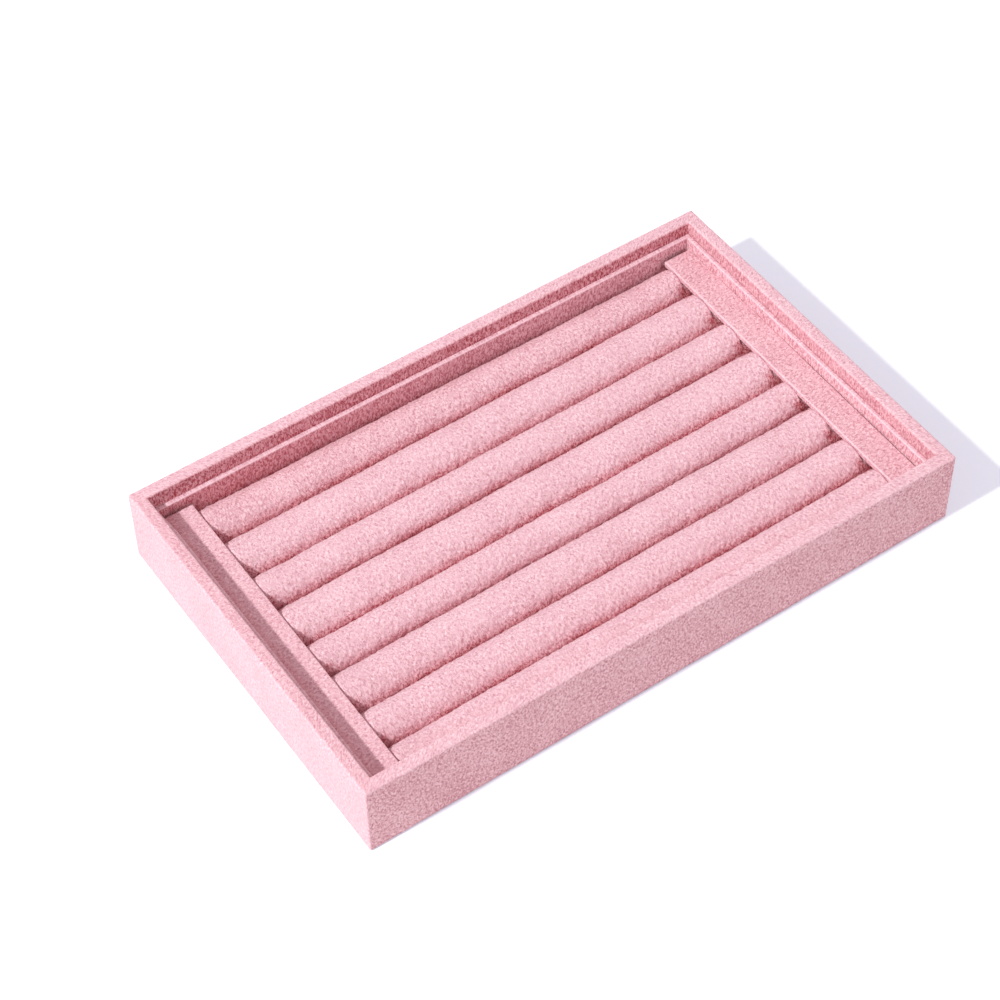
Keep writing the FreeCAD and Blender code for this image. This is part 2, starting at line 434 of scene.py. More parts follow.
def weighted(tree, *parts):
    """Sum of (value, weight) pairs."""
    total, *others = (math_node(tree, "MULTIPLY", value, weight) for value, weight in parts)
    for part in others:
        total = math_node(tree, "ADD", total, part)
    return total


def ramp(tree, share, stops):
    """Colour ramp with (place, colour) stops."""
    node = add_node(tree, "ShaderNodeValToRGB", {"Fac": share})
    elements = node.color_ramp.elements
    while len(elements) < len(stops):
        elements.new(0.5)
    for element, (place, colour) in zip(elements, stops):
        element.position = place
        element.color = (*colour, 1.0)
    return node.outputs["Color"]


def surface(tree, inputs, bump_height, bump_distance, bump_strength=1.0):
    """Principled surface with a bump, sent to the output."""
    bump = add_node(tree, "ShaderNodeBump", {
        "Height": bump_height, "Distance": bump_distance, "Strength": bump_strength})
    shader = add_node(tree, "ShaderNodeBsdfPrincipled", {**inputs, "Normal": bump.outputs["Normal"]})
    add_node(tree, "ShaderNodeOutputMaterial", {"Surface": shader.outputs["BSDF"]})


def velvet_material(name, shade_tint):
    """Short dense pile: pale tips and rose gaps, deeper and coarser under painted shade, paler along folds as
    wear and painted highlight.
    """
    material, tree = new_material(name)
    painted_shade = add_node(tree, "ShaderNodeAttribute", attribute_name="painted_shade").outputs["Fac"]
    pile = add_node(tree, "ShaderNodeAttribute", attribute_name="pile").outputs["Vector"]
    place = add_node(tree, "ShaderNodeMapping", {
        "Vector": pile, "Scale": STROKE, "Rotation": (0, 0, GRAIN_TURN)}).outputs["Vector"]
    tufts = noise(tree, place, TUFT_SCALE, detail=1.5, roughness=0.6, dimensions="2D", distortion=0.7)
    fibres = noise(tree, place, FIBRE_SCALE, detail=1.0, dimensions="2D")
    brushed = noise(tree, place, BRUSH_SCALE, detail=3.0, dimensions="2D")
    grain = weighted(tree, (tufts, 0.72), (fibres, 0.18), (brushed, 0.10))
    contrast = add_node(tree, "ShaderNodeSeparateXYZ", {0: pile}).outputs["Z"]
    spread = math_node(tree, "MULTIPLY", math_node(tree, "SUBTRACT", grain, 0.5), contrast)
    colour = ramp(tree, math_node(tree, "ADD", spread, 0.5),
                  [(0.36, GAP_ROSE), (0.49, BODY_PINK), (0.62, TIP_PINK)])
    # painted shade: the colour is multiplied towards the shade tint, less on the pile's tips
    tinted = math_node(tree, "SUBTRACT", 1.0, math_node(tree, "MULTIPLY", spread, TIP_LIGHT))
    tinted = math_node(tree, "MULTIPLY", tinted, painted_shade)
    shaded = add_node(tree, "ShaderNodeMix", {0: tinted, 6: colour, 7: (*shade_tint, 1.0)},
                      data_type="RGBA", blend_type="MULTIPLY")
    # paler along the folds: partly worn pile, partly painted highlight
    wear_and_highlight = add_node(tree, "ShaderNodeAttribute", attribute_name="wear_and_highlight").outputs["Fac"]
    paled = add_node(tree, "ShaderNodeMix", {0: wear_and_highlight, 6: shaded.outputs[2], 7: (*WEAR_AND_HIGHLIGHT_PINK, 1.0)},
                      data_type="RGBA")
    surface(tree, {
        "Base Color": paled.outputs[2],
        "Roughness": math_node(tree, "MULTIPLY_ADD", tufts, -0.15, 1.0),
        "Specular IOR Level": 0.15,
        "Sheen Weight": 0.35,
        "Sheen Roughness": 0.35,
        "Sheen Tint": (*SHEEN_TINT, 1.0),
    }, grain, bump_distance=0.2 * MM, bump_strength=0.35)
    return material


def mottled_material(name, dark, light, scale, roughness, bump_distance):
    """Dull speckled stuff: felt, foam, card or fibreboard."""
    material, tree = new_material(name)
    place = add_node(tree, "ShaderNodeTexCoord").outputs["Object"]
    cloud_scale = scale / 14
    speckle = noise(tree, place, scale, detail=4.0, roughness=0.65)
    cloud = noise(tree, place, cloud_scale)
    surface(tree, {
        "Base Color": ramp(tree, weighted(tree, (speckle, 0.7), (cloud, 0.3)), [(0.34, dark), (0.66, light)]),
        "Roughness": math_node(tree, "MULTIPLY_ADD", speckle, 0.2, roughness),
        "Specular IOR Level": 0.2,
    }, speckle, bump_distance)
    return material


VELVET_PINK = velvet_material("velvet_pink", SHADE_ROSE)
# the liners' copy differs only in the tint of its painted shade
VELVET_LINER = velvet_material("velvet_liner", LINER_ROSE)
FELT_ROSE = mottled_material(
    "felt_rose", dark=(0.50, 0.20, 0.25), light=(0.74, 0.38, 0.44), scale=900, roughness=0.8,
    bump_distance=0.2 * MM)
FOAM_CREAM = mottled_material(
    "foam_cream", dark=(0.62, 0.58, 0.48), light=(0.90, 0.88, 0.82), scale=1100, roughness=0.75,
    bump_distance=0.3 * MM)
BOARD_BROWN = mottled_material(
    "fibreboard", dark=(0.40, 0.27, 0.17), light=(0.62, 0.47, 0.33), scale=1400, roughness=0.7,
    bump_distance=0.1 * MM)
CARD_GREY = mottled_material(
    "grey_card", dark=(0.46, 0.43, 0.39), light=(0.68, 0.65, 0.60), scale=1000, roughness=0.75,
    bump_distance=0.06 * MM)


# Case

def rounded_loop(half_x, half_y, radius, step):
    """Rounded rectangle round the origin, with as many points at every size."""
    count_x = math.ceil(2 * case_half_x / step)
    count_y = math.ceil(2 * case_half_y / step)
    along_x = np.linspace(-1, 1, count_x) * (half_x - radius)
    along_y = np.linspace(-1, 1, count_y) * (half_y - radius)
    turn = np.radians(np.linspace(0, 90, CORNER_POINTS + 2)[1:-1])
    runs = []
    for quarter, along, reach, side in (
            (-90, along_x, half_y, half_x), (0, along_y, half_x, half_y),
            (90, along_x, half_y, half_x), (180, along_y, half_x, half_y)):
        spin = math.radians(quarter)
        outward = np.array([math.cos(spin), math.sin(spin)])
        forward = np.array([-math.sin(spin), math.cos(spin)])
        runs.append(np.outer(along, forward) + reach * outward)
        corner = outward * (reach - radius) + forward * (side - radius)
        runs.append(corner + radius * (np.outer(np.cos(turn), outward) + np.outer(np.sin(turn), forward)))
    return np.vstack(runs)


def outer_wrap():
    """One velvet over the outside, the rim and the inside of the walls, its hem turned under the base."""
    low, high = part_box("outer_velvet_wrap")
    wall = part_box("left_wall_board")[1].x - low.x + VELVET
    base_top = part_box("base_board")[1].z
    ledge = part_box("left_liner_velvet")[1].z
    rim, bottom = high.z, low.z
    inset = wall - VELVET
    shown = [
        arc((FOLD_ROUND, bottom + FOLD_ROUND), FOLD_ROUND, 270, 180, FOLD_STEP),
        line((0, bottom + FOLD_ROUND), (0, rim - RIM_ROUND), WALL_STEP),
        arc((RIM_ROUND, rim - RIM_ROUND), RIM_ROUND, 180, 90, FOLD_STEP),
        line((RIM_ROUND, rim), (wall - RIM_ROUND, rim), WRAP_FINE),
        arc((wall - RIM_ROUND, rim - RIM_ROUND), RIM_ROUND, 90, 0, FOLD_STEP),
        line((wall, rim - RIM_ROUND), (wall, ledge - FOLD_ROUND), WRAP_FINE),
    ]
    hidden = [
        line((wall, ledge - FOLD_ROUND), (wall, base_top), HIDDEN_STEP),
        line((wall, base_top), (inset, base_top), COARSE),
        line((inset, base_top), (inset, rim - VELVET), HIDDEN_STEP),
        line((inset, rim - VELVET), (VELVET, rim - VELVET), HIDDEN_STEP),
        line((VELVET, rim - VELVET), (VELVET, bottom + VELVET), HIDDEN_STEP),
        line((VELVET, bottom + VELVET), (HEM_WIDTH, bottom + VELVET), HIDDEN_STEP),
        line((HEM_WIDTH, bottom + VELVET), (HEM_WIDTH, bottom), COARSE),
        line((HEM_WIDTH, bottom), (FOLD_ROUND, bottom), COARSE),
    ]
    section = np.vstack(shown + hidden)
    rows = []
    for depth, height in section:
        corner = max(CASE_CORNER - depth, INNER_CORNER)
        loop = rounded_loop(case_half_x - depth, case_half_y - depth, corner, WRAP_FINE)
        rows.append(np.column_stack([loop, np.full(len(loop), height)]))
    grid = np.stack(rows)
    show = np.zeros((len(section), 1))
    show[:sum(len(run) for run in shown)] = 1
    wrap = grid_piece("outer_wrap", grid, close_rows=True)
    wander = lattice_noise(points_of(wrap), WANDER_CELL, WRAP_WANDER_SEED).reshape(grid.shape[:2])
    push_out(wrap, np.ravel(WRAP_WANDER * wander * show))
    inward, level = section[:, :1], section[:, 1:]
    inside = smooth((inward - wall + RIM_ROUND) / RIM_ROUND)
    outside = smooth((rim - level - OUTSIDE_START) / OUTSIDE_FADE) * (inward < RIM_ROUND)
    edge = inward + CASE_CORNER / 2
    long_side = abs(grid[:, :, 1]) > case_half_y - edge
    left_side = grid[:, :, 0] < edge - case_half_x
    top = smooth((level - rim) / RIM_FADE + 1)
    # painted shade inside the walls and on the outsides turned from the lamp, and a darker tint on the left
    # rim
    painted_shade = inside * np.where(long_side, *INSIDE_SHADE) + outside * np.where(left_side, *OUTSIDE_SHADE)
    painted_shade = painted_shade + top * (1 - inside) * np.where(left_side, *RIM_DARKENING)
    # painted shade in the crease above the ledge, and along the bottom of three outsides
    painted_shade = painted_shade + LEDGE_SHADE * inside * (1 - smooth((level - ledge) / LEDGE_FADE))
    painted_shade = painted_shade + BOTTOM_SHADE * outside * ~left_side * (1 - smooth((level - bottom) / BOTTOM_FADE))
    coarse = GRAIN + outside * np.where(left_side, *OUTSIDE_GRAIN)
    coarse = coarse + inside * np.where(long_side, *INSIDE_GRAIN)
    # folds painted paler, partly as worn pile and partly as painted highlight
    wear_and_highlight = fold_wear_and_highlight(section, RIM_FOLD_REACH, ((0, rim), RIM_WEAR_AND_HIGHLIGHT[0]), ((wall, rim), RIM_WEAR_AND_HIGHLIGHT[1]))[:, None]
    stretch = 1 + (WALL_STROKE - 1) * np.ravel(inside)
    make_velvet(wrap, grid, 0, PILE * show, painted_shade * show, wear_and_highlight * show, WRAP_SEED, coarse, stretch)
    dress(wrap, "case", "velvet", VELVET_PINK, "outer_velvet_wrap")


def slab(name, low, high, corner, step):
    """Flat sheet with rounded corners, as concentric loops over the top and the underside."""
    half = (high - low) / 2
    reach = min(half.x, half.y)
    insets = np.append(np.arange(0, reach - step, step), reach - 2 * MARGIN)
    rows = []
    for height, depths in ((low.z, insets[::-1]), (high.z, insets)):
        for depth in depths:
            radius = max(corner - depth, INNER_CORNER / 2)
            radius = min(radius, reach - depth)
            loop = rounded_loop(half.x - depth, half.y - depth, radius, step)
            rows.append(np.column_stack([loop, np.full(len(loop), height)]))
    grid = np.stack(rows)
    return grid_piece(name, grid), grid


def floor_lining():
    """Velvet on the base board, under the insert."""
    low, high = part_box("floor_velvet")
    lining, grid = slab("floor_lining", low, high, INNER_CORNER, SLAB_STEP)
    upper = grid[:, :, 2] > (low.z + high.z) / 2
    # darker tint on the floor lining
    make_velvet(lining, grid, 0, PILE * upper, FLOOR_DARKENING, 0.0, FLOOR_SEED, GRAIN + FLOOR_GRAIN)
    dress(lining, "case", "velvet", VELVET_PINK, "floor_velvet")


def base_felt():
    """Felt under the tray, over the turned hem."""
    low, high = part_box("underside_felt")
    hem_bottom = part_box("outer_velvet_wrap")[0].z
    felt, _ = slab("base_felt", low, Vector((high.x, high.y, hem_bottom)), FELT_CORNER, SLAB_STEP)
    points = points_of(felt)
    underside = points[:, 2] < low.z + MARGIN
    push_out(felt, -FELT_TUFT * (1 + lattice_noise(points, 2 * FIBRE, FELT_SEED)) * underside)
    dress(felt, "case", "felt", FELT_ROSE, "underside_felt")


def liner_cover(side, seed):
    """Velvet folded over the top of a liner card, which makes the ledge."""
    node = f"{side}_liner_velvet"
    low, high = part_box(node)
    size = high - low
    centre = (low + high) / 2
    along_x = size.x > size.y
    half = (size.y if along_x else size.x) / 2
    card = half - VELVET
    foot, top = low.z, high.z
    shoulder = top - FOLD_ROUND
    fold = half - FOLD_ROUND
    outside = np.vstack([
        line((-half, foot), (-half, shoulder), FINE),
        arc((-fold, shoulder), FOLD_ROUND, 180, 90, FOLD_STEP),
        line((-fold, top), (fold, top), FINE),
        arc((fold, shoulder), FOLD_ROUND, 90, 0, FOLD_STEP),
        line((half, shoulder), (half, foot), COARSE),
    ])
    section = np.vstack([
        outside,
        line((half, foot), (card, foot), COARSE),
        line((card, foot), (card, top - VELVET), HIDDEN_STEP),
        line((card, top - VELVET), (-card, top - VELVET), COARSE),
        line((-card, top - VELVET), (-card, foot), HIDDEN_STEP),
        line((-card, foot), (-half, foot), COARSE),
    ])
    length = size.x if along_x else size.y
    stations = np.linspace(-length / 2, length / 2, math.ceil(length / FINE))
    across = -1 if side in ("front", "left") else 1
    outer = np.arange(len(section)) < len(outside)
    share = stations[:, None] / length + 0.5
    rise = (1 - share) * LEDGE_RISE[side][0] + share * LEDGE_RISE[side][1]
    near_top = smooth((section[:, 1] - top) / LEDGE_RISE_FADE + 1) * outer
    grid = np.empty((len(stations), len(section), 3))
    run, aside = (0, 1) if along_x else (1, 0)
    grid[:, :, run] = centre[run] + stations[:, None]
    grid[:, :, aside] = centre[aside] + across * section[None, :, 0]
    if side == "left":
        loose = near_top * np.clip(-section[:, 0] / half, 0, 1) * smooth((1 - share) * length / LOOSE_FADE)
        grid[:, :, aside] += LOOSE_FOLD * loose
    grid[:, :, 2] = section[None, :, 1] + rise * near_top
    cover = grid_piece(f"{side}_liner_cover", grid)
    show = (outer & ((section[:, 0] < 0) | (section[:, 1] > shoulder)))[None] * np.ones((len(stations), 1))
    show[0] = show[-1] = 0
    below = smooth((top - section[None, :, 1]) / LINER_FADE)
    # painted shade down the liner below its fold
    painted_shade = ((1 - share) * LINER_SHADE[side][0] + share * LINER_SHADE[side][1]) * below
    coarse = GRAIN + LINER_GRAIN[0 if along_x else 1] * below
    # the fold painted paler, partly as worn pile and partly as painted highlight
    wear_and_highlight = fold_wear_and_highlight(section, LEDGE_FOLD_REACH, ((-half, top), LEDGE_WEAR_AND_HIGHLIGHT[side])) * outer
    make_velvet(cover, grid, 1, PILE * show, painted_shade, wear_and_highlight, seed, coarse, WALL_STROKE)
    dress(cover, "case", "velvet", VELVET_LINER, node)


# Insert

def roll_half(width, height, crown, inset, counts):
    """Right half of a roll's outline, from the seam under it up to the crest."""
    fullness, flatness = crown
    side = width / 2 - inset
    rise = fullness * width / 2 - inset
    crest_radius = flatness * width / 2 - inset
    shoulder_radius = (side ** 2 + rise ** 2 - 2 * rise * crest_radius) / (2 * (side - crest_radius))
    spring = height - fullness * width / 2
    foot = FOOT_ROUND - inset
    shoulder_y = side - shoulder_radius
    lean = math.asin(shoulder_y / (crest_radius - shoulder_radius))
    lean_angle = math.degrees(lean)
    foot_count, bend_count, side_count, shoulder_count, crest_count = counts

    def step(length, count):
        """Step that shares a length out among this many points."""
        return length / (count - 0.5)

    bend = math.pi / 2 * foot
    shoulder = (math.pi / 2 - lean) * shoulder_radius
    return np.vstack([
        line((SLEEVE_SEAM / 2, inset), (side - foot, inset),
             step(side - foot - SLEEVE_SEAM / 2, foot_count)),
        arc((side - foot, inset + foot), foot, -90, 0, step(bend, bend_count)),
        line((side, inset + foot), (side, spring), step(spring - inset - foot, side_count)),
        arc((shoulder_y, spring), shoulder_radius, 0, 90 - lean_angle, step(shoulder, shoulder_count)),
        arc((0, spring + rise - crest_radius), crest_radius, 90 - lean_angle, 90,
            step(lean * crest_radius, crest_count)),
        [(0, spring + rise)],
    ])


def roll_outline(width, height, crown, inset, counts):
    """Whole outline, from the right edge of the seam over the crest to its left edge."""
    right = roll_half(width, height, crown, inset, counts)
    left = right[-2::-1] * (-1, 1)
    return np.vstack([right, left])


def strip_skew(place):
    """How far to the right both strips lie at a place along them."""
    low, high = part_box("left_strip_velvet")
    share = (high.y - place) / (high.y - low.y)
    return (1 - share) * STRIP_SKEW[0] + share * STRIP_SKEW[1]


def free_length(along, place):
    """Distance from the nearer strip's edge, below nought under a strip."""
    left_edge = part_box("left_strip_velvet")[1].x + strip_skew(place)
    right_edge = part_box("right_strip_velvet")[0].x + strip_skew(place)
    return np.minimum(along - left_edge, right_edge - along)


def roll_grid(node, inset, counts, step):
    """Outline of a roll at stations along it, pressed down under the strips."""
    low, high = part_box(node)
    width = high.y - low.y
    height = high.z - low.z
    stations = np.linspace(low.x, high.x, math.ceil((high.x - low.x) / step))
    full = roll_outline(width, height, CROWN, inset, counts)
    pressed = roll_outline(width, height - STRIP_PRESS, PRESSED_CROWN, inset, counts)
    free = free_length(stations[:, None], (low.y + high.y) / 2)
    left = (stations < 0)[:, None]
    level = full[:, 1] / height
    crest = smooth((level - np.where(left, *CREST_PART)) / CREST_FADE)
    risen = smooth((free + np.where(left, *CREST_START)) / np.where(left, *CREST_RAMP))
    swell = crest * risen + (1 - crest) * smooth(free / PRESS_RAMP)
    outline = pressed + swell[:, :, None] * (full - pressed)
    drawn = (1 - smooth(free / SIDE_RAMP)) * smooth((level - PINCH_PART) / CREST_FADE)
    bulge = np.where(left, *BULGE) * smooth((level - BULGE_PART) / CREST_FADE)
    bulge = bulge * risen * (1 - smooth(free / BULGE_RAMP))
    grid = np.empty((len(stations), len(full), 3))
    grid[:, :, 0] = stations[:, None]
    grid[:, :, 1] = outline[:, :, 0] * (1 - PINCH * drawn) + (low.y + high.y) / 2
    grid[:, :, 2] = outline[:, :, 1] + bulge + low.z
    return grid


def settle(grid):
    """Lays the rolls a little askew and lets them wander, as hand-packed rolls do."""
    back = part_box("roll_1_velvet")
    reach = (back[1].y - abs(grid[:, :, 1])) / (back[1].y - back[0].y)
    lean = SLOT_LEAN * np.clip(reach, 0, 1) * grid[:, :, 0] / back[1].x
    foot = back[0].z
    lift = np.clip((grid[:, :, 2] - foot) / (back[1].z - foot), 0, 1)
    wander = lattice_noise(grid.reshape(-1, 3), WANDER_CELL, ROLL_WANDER_SEED)
    wander = ROLL_WANDER * wander.reshape(lean.shape)
    slots = [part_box(f"roll_{number}_velvet")[0].y for number in range(1, ROLL_COUNT)]
    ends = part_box(f"roll_{ROLL_COUNT}_velvet")[0].y, back[1].y
    shift = np.interp(grid[:, :, 1], [ends[0], *slots[::-1], ends[1]], [0, *SLOT_SHIFT[::-1], 0])
    grid[:, :, 1] += shift + lean + wander * np.clip(reach * 2, 0, 1)
    grid[:, :, 2] += wander * lift * CREST_WANDER
    return grid


def crown_depth(grid):
    """Depth of each point below the crest at its station."""
    return grid[:, :, 2].max(axis=1, keepdims=True) - grid[:, :, 2]


def simulate_swell(start, faces, held):
    """Cloth simulation under pressure, without gravity. Gives the moved points."""
    mesh = bpy.data.meshes.new("swell")
    mesh.from_pydata(start, [], faces.tolist())
    cloth = bpy.data.objects.new("swell", mesh)
    scene = bpy.context.scene
    scene.collection.objects.link(cloth)
    cloth.vertex_groups.new(name="held").add(np.flatnonzero(held).tolist(), 1.0, "REPLACE")
    modifier = cloth.modifiers.new("swell", "CLOTH")
    settings = modifier.settings
    settings.vertex_group_mass = "held"
    settings.use_pressure = True
    settings.uniform_pressure_force = SWELL_PRESSURE
    settings.tension_stiffness = settings.compression_stiffness = SWELL_STIFFNESS
    settings.shear_stiffness = SWELL_STIFFNESS / 3
    settings.effector_weights.gravity = 0.0
    modifier.collision_settings.use_collision = False
    modifier.point_cache.frame_start = 1
    modifier.point_cache.frame_end = SWELL_FRAMES
    for step in range(1, SWELL_FRAMES + 1):
        scene.frame_set(step)
    result = cloth.evaluated_get(bpy.context.evaluated_depsgraph_get()).data
    moved = np.empty(len(start) * 3)
    result.vertices.foreach_get("co", moved)
    bpy.data.objects.remove(cloth)
    bpy.data.meshes.remove(mesh)
    scene.frame_set(1)
    return moved.reshape(-1, 3)


def widen(table, rows, columns, shape):
    """Spreads values given at some rows and columns over a whole grid."""
    table = np.stack([np.interp(np.arange(shape[0]), rows, values) for values in table.T], axis=1)
    return np.stack([np.interp(np.arange(shape[1]), columns, values) for values in table])


def swell(grids):
    """Lets the velvet of the rolls swell between the strips, held under them and down the sides."""
    picks, shapes, starts, faces, held = [], [], [], [], []
    for grid in grids:
        rows, columns = (np.linspace(0, whole - 1, part).round().astype(int)
                         for whole, part in zip(grid.shape, SWELL_MESH))
        shape = grid[rows][:, columns]
        free = free_length(shape[:, :, 0], shape[:, :, 1].mean())
        loose = smooth((SWELL_HOLD - crown_depth(shape)) / SWELL_FADE)
        loose *= smooth((free - SWELL_EDGE) / SWELL_FADE)
        index = np.arange(loose.size).reshape(loose.shape) + loose.size * len(picks)
        picks.append((rows, columns))
        shapes.append(shape.reshape(-1, 3))
        starts.append(shapes[-1] - SWELL_START * np.outer(loose, (0, 0, 1)))
        faces.append(cell_corners(index).reshape(-1, 4))
        held.append(loose.ravel() == 0)
    order = -1 if signed_volume(starts[0], faces[0]) < 0 else 1
    moved = simulate_swell(np.vstack(starts), np.vstack(faces)[:, ::order], np.concatenate(held))
    change = moved - np.vstack(shapes)
    length = np.linalg.norm(change, axis=1, keepdims=True)
    change *= np.minimum(1, SWELL_CAP / np.maximum(length, 1e-9))
    for grid, (rows, columns), part in zip(grids, picks, change.reshape(len(grids), *SWELL_MESH, 3)):
        for axis in range(3):
            grid[:, :, axis] += widen(part[:, :, axis], rows, columns, grid.shape)
    return grids


def sleeve_outside(number):
    """Outside of a sleeve before it swells."""
    return settle(roll_grid(f"roll_{number}_velvet", 0.0, SLEEVE_COUNTS, FINE))


def sleeve(number, outer):
    """Velvet sleeve of one roll, open at the ends, with its seam underneath."""
    node = f"roll_{number}_velvet"
    inner = settle(roll_grid(node, VELVET, LINING_COUNTS, FINE))[:, ::-1]
    grid = np.concatenate([outer, inner], axis=1)
    piece = grid_piece(f"roll_{number}_sleeve", grid)
    foot = SLEEVE_COUNTS[0]
    show = np.zeros(grid.shape[:2])
    show[1:-1, foot:outer.shape[1] - foot] = 1
    depth = crown_depth(grid)
    free = free_length(grid[:, :, 0], grid[:, :, 1].mean())
    height = PILE + (FLANK_PILE - PILE) * smooth((depth - FLANK_START) / FLANK_FADE)
    # painted shade down each roll's sides, where it meets the next roll
    uneven = lattice_noise(grid.reshape(-1, 3), SIDE_SHADE_CELL, SIDE_SHADE_SEED).reshape(depth.shape)
    side_shade = SIDE_SHADE * SIDE_SHADE_SCALE[number - 1] * (1 + SIDE_SHADE_CHANGE * uneven)
    painted_shade = side_shade * smooth((depth - SIDE_SHADE_START) / SIDE_SHADE_FADE)
    # more painted shade on the roll beside the back wall
    if number == 1:
        painted_shade += BACK_ROLL_SHADE
    # painted shadow on the roll ends beside the strips
    end_shadow = 1 - smooth(free / np.where(grid[:, :, 0] < 0, *END_SHADE))
    end_shadow = end_shadow * smooth((depth - END_START) / END_FADE)
    painted_shade = np.maximum(painted_shade, END_SHADOW * end_shadow)
    wear_and_highlight = 0.0
    # towards the front wall the last roll takes a painted highlight in place of its painted shade
    if number == ROLL_COUNT:
        front = smooth((grid[:, :, 1].mean() - grid[:, :, 1]) / FRONT_FADE)
        painted_shade *= 1 - front
        wear_and_highlight = FRONT_HIGHLIGHT * front
    seed = SLEEVE_SEED + 2 * (number - 1)
    make_velvet(piece, grid, 1, height * show, painted_shade, wear_and_highlight, seed, GRAIN + FLANK_GRAIN * painted_shade)
    dress(piece, "insert", "velvet", VELVET_PINK, node)


def core(number):
    """Foam core of one roll, with bare ends."""
    node = f"roll_{number}_velvet"
    grid = settle(roll_grid(node, VELVET + GLUE_LINE, CORE_COUNTS, COARSE))
    piece = grid_piece(f"roll_{number}_core", grid)
    dress(piece, "insert", "foam", FOAM_CREAM, f"roll_{number}_foam")


def strip_cover(side, seed):
    """Velvet round an end strip's board, its hems turned under along both long edges."""
    node = f"{side}_strip_velvet"
    low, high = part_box(node)
    half = (high.x - low.x) / 2
    thick = high.z - low.z
    flat = half - STRIP_ROUND
    bare = half - STRIP_HEM
    board = half - VELVET
    section = np.vstack([
        line((-bare, 0), (-flat, 0), COARSE / 2),
        arc((-flat, STRIP_ROUND), STRIP_ROUND, 270, 180, FOLD_STEP),
        line((-half, STRIP_ROUND), (-half, thick - STRIP_ROUND), FINE),
        arc((-flat, thick - STRIP_ROUND), STRIP_ROUND, 180, 90, FOLD_STEP),
        line((-flat, thick), (flat, thick), FINE),
        arc((flat, thick - STRIP_ROUND), STRIP_ROUND, 90, 0, FOLD_STEP),
        line((half, thick - STRIP_ROUND), (half, STRIP_ROUND), FINE),
        arc((flat, STRIP_ROUND), STRIP_ROUND, 0, -90, FOLD_STEP),
        line((flat, 0), (bare, 0), COARSE / 2),
        line((bare, 0), (bare, VELVET), COARSE),
        line((bare, VELVET), (board, VELVET), COARSE),
        line((board, VELVET), (board, thick - VELVET), COARSE),
        line((board, thick - VELVET), (-board, thick - VELVET), COARSE * 2),
        line((-board, thick - VELVET), (-board, VELVET), COARSE),
        line((-board, VELVET), (-bare, VELVET), COARSE),
        line((-bare, VELVET), (-bare, 0), COARSE),
    ])
    length = high.y - low.y
    stations = np.linspace(low.y, high.y, math.ceil(length / FINE))
    grid = np.empty((len(stations), len(section), 3))
    grid[:, :, 0] = (low.x + high.x) / 2 + section[None, :, 0] + strip_skew(stations[:, None])
    grid[:, :, 1] = stations[:, None]
    grid[:, :, 2] = low.z + section[None, :, 1]
    if side == "right":
        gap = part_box("right_liner_velvet")[0].x - high.x - strip_skew(stations)
        filled = STRIP_FILL * smooth((stations - STRIP_FILL_END) / STRIP_FILL_FADE)
        grid[:, :, 0] += np.outer(gap * filled, section[:, 0] > flat)
    cover = grid_piece(f"{side}_strip_cover", grid)
    outer = np.maximum(abs(section[:, 0]) > board + MARGIN, section[:, 1] > thick - VELVET / 2)
    show = np.tile(outer.astype(float), (len(stations), 1))
    show[0] = show[-1] = 0
    # darker tint on each strip, and painted shade at the left strip's outer edge
    painted_shade = STRIP_DARKENING[side]
    if side == "left":
        painted_shade = painted_shade + STRIP_EDGE_SHADE * (1 - smooth((section[None, :, 0] + half) / STRIP_EDGE_FADE))
    # folds painted paler, partly as worn pile and partly as painted highlight
    left_pale, right_pale = STRIP_WEAR_AND_HIGHLIGHT[side]
    wear_and_highlight = fold_wear_and_highlight(section, STRIP_FOLD_REACH, ((-half, thick), left_pale), ((half, thick), right_pale))
    make_velvet(cover, grid, 1, PILE * show, painted_shade, wear_and_highlight, seed, GRAIN + STRIP_GRAIN[side])
    dress(cover, "insert", "velvet", VELVET_PINK, node)


def dress_boards():
    """Fibreboard and card finishes on the solids that stay."""
    finishes = {"board": BOARD_BROWN, "card": CARD_GREY}
    for name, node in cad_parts.items():
        finish = finishes.get(name.rsplit("_", 1)[-1])
        if finish:
            node.data.materials.clear()
            node.data.materials.append(finish)


# Stage

def seen_directly(tree):
    """1 for rays from the camera and for mirrored and transmitted ones."""
    path = add_node(tree, "ShaderNodeLightPath")
    total = math_node(tree, "ADD", path.outputs["Is Camera Ray"], path.outputs["Is Glossy Ray"])
    total = math_node(tree, "ADD", total, path.outputs["Is Transmission Ray"])
    return math_node(tree, "MINIMUM", total, 1.0)


def make_world():
    """Pale pink sky for light, plain white where it is seen."""
    world = bpy.data.worlds.new("studio")
    world.use_nodes = True
    tree = world.node_tree
    tree.nodes.clear()
    sky = add_node(tree, "ShaderNodeBackground", {"Color": (*SKY_COLOUR, 1), "Strength": SKY_STRENGTH})
    white = add_node(tree, "ShaderNodeBackground", {"Color": (1, 1, 1, 1), "Strength": 1.0})
    mix = add_node(tree, "ShaderNodeMixShader", {
        0: seen_directly(tree), 1: sky.outputs[0], 2: white.outputs[0]})
    add_node(tree, "ShaderNodeOutputWorld", {"Surface": mix.outputs[0]})
    bpy.context.scene.world = world


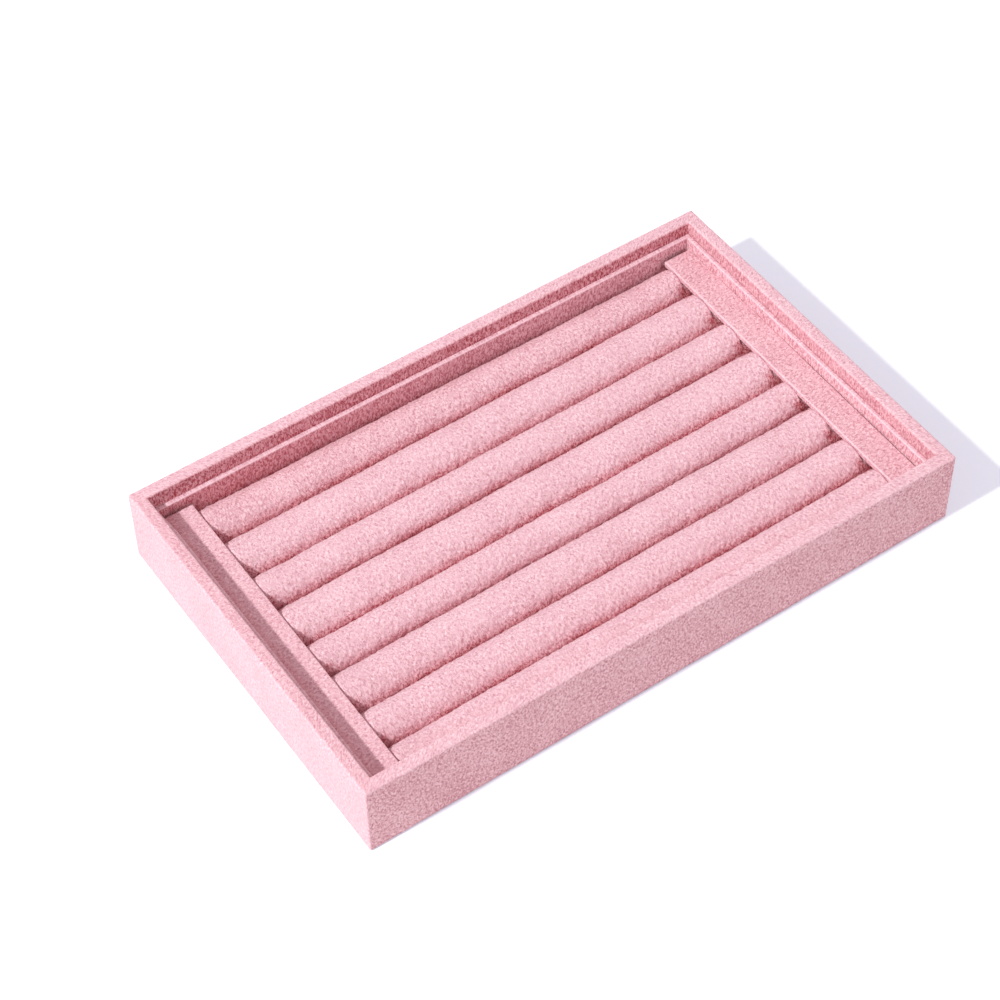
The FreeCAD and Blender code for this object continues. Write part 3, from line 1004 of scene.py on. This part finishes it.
def make_floor():
    """Pale floor that keeps the shadow and turns to plain white away from the tray."""
    mesh = bpy.data.meshes.new("floor")
    reach = FLOOR_SIZE / 2
    mesh.from_pydata([(-reach, -reach, 0), (reach, -reach, 0), (reach, reach, 0), (-reach, reach, 0)],
                     [], [(0, 1, 2, 3)])
    floor = bpy.data.objects.new("floor", mesh)
    bpy.context.scene.collection.objects.link(floor)
    material, tree = new_material("floor_white")
    direct = seen_directly(tree)
    place = add_node(tree, "ShaderNodeTexCoord").outputs["Object"]
    distance = add_node(tree, "ShaderNodeVectorMath", {0: place}, operation="LENGTH").outputs["Value"]
    far = add_node(tree, "ShaderNodeMapRange", {
        "Value": distance, "From Min": FLOOR_NEAR, "From Max": FLOOR_FAR},
        interpolation_type="SMOOTHSTEP").outputs["Result"]
    paint = add_node(tree, "ShaderNodeBsdfDiffuse", {"Color": (FLOOR_GREY,) * 3 + (1,)})
    lift = add_node(tree, "ShaderNodeEmission", {"Color": (*FLOOR_LIFT, 1), "Strength": direct})
    near = add_node(tree, "ShaderNodeAddShader", {0: paint.outputs[0], 1: lift.outputs[0]})
    white = add_node(tree, "ShaderNodeEmission", {"Color": (1, 1, 1, 1), "Strength": 1.0})
    share = math_node(tree, "MULTIPLY", far, direct)
    mix = add_node(tree, "ShaderNodeMixShader", {0: share, 1: near.outputs[0], 2: white.outputs[0]})
    add_node(tree, "ShaderNodeOutputMaterial", {"Surface": mix.outputs[0]})
    mesh.materials.append(material)


def make_key():
    """One soft lamp above the left end."""
    lamp = bpy.data.lights.new("key", "AREA")
    lamp.shape = "DISK"
    lamp.size = KEY_SIZE
    lamp.energy = KEY_POWER
    lamp.color = KEY_COLOUR
    key = bpy.data.objects.new("key", lamp)
    key.location = KEY_PLACE
    key.rotation_euler = (-Vector(KEY_PLACE)).to_track_quat("-Z", "Y").to_euler()
    bpy.context.scene.collection.objects.link(key)


def make_camera():
    """Camera at the photograph's viewing angle."""
    back = Vector((math.sin(AZIMUTH) * math.cos(ELEVATION),
                   -math.cos(AZIMUTH) * math.cos(ELEVATION), math.sin(ELEVATION)))
    level = Vector((0, 0, 1)).cross(back).normalized()
    upright = back.cross(level)
    right = math.cos(ROLL) * level + math.sin(ROLL) * upright
    up = math.cos(ROLL) * upright - math.sin(ROLL) * level
    data = bpy.data.cameras.new("camera")
    data.lens = LENS
    data.clip_start = 0.01
    camera = bpy.data.objects.new("camera", data)
    turn = Matrix((right, up, back)).transposed()
    place = -(turn @ Vector(VIEW_SHIFT))
    camera.matrix_world = Matrix.Translation(place) @ turn.to_4x4()
    bpy.context.scene.collection.objects.link(camera)
    bpy.context.scene.camera = camera


# Assembly

wrap_low, wrap_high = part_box("outer_velvet_wrap")
case_half_x = (wrap_high.x - wrap_low.x) / 2
case_half_y = (wrap_high.y - wrap_low.y) / 2

outer_wrap()
floor_lining()
base_felt()
for order, wall_side in enumerate(("front", "back", "left", "right")):
    liner_cover(wall_side, LINER_SEED + 2 * order)
roll_numbers = range(1, ROLL_COUNT + 1)
swollen = swell([sleeve_outside(number) for number in roll_numbers])
for roll_number, outside in zip(roll_numbers, swollen):
    core(roll_number)
    sleeve(roll_number, outside)
for order, end_side in enumerate(("left", "right")):
    strip_cover(end_side, STRIP_SEED + 2 * order)
dress_boards()
make_world()
make_floor()
make_key()
make_camera()
bpy.context.scene.view_settings.view_transform = "Standard"
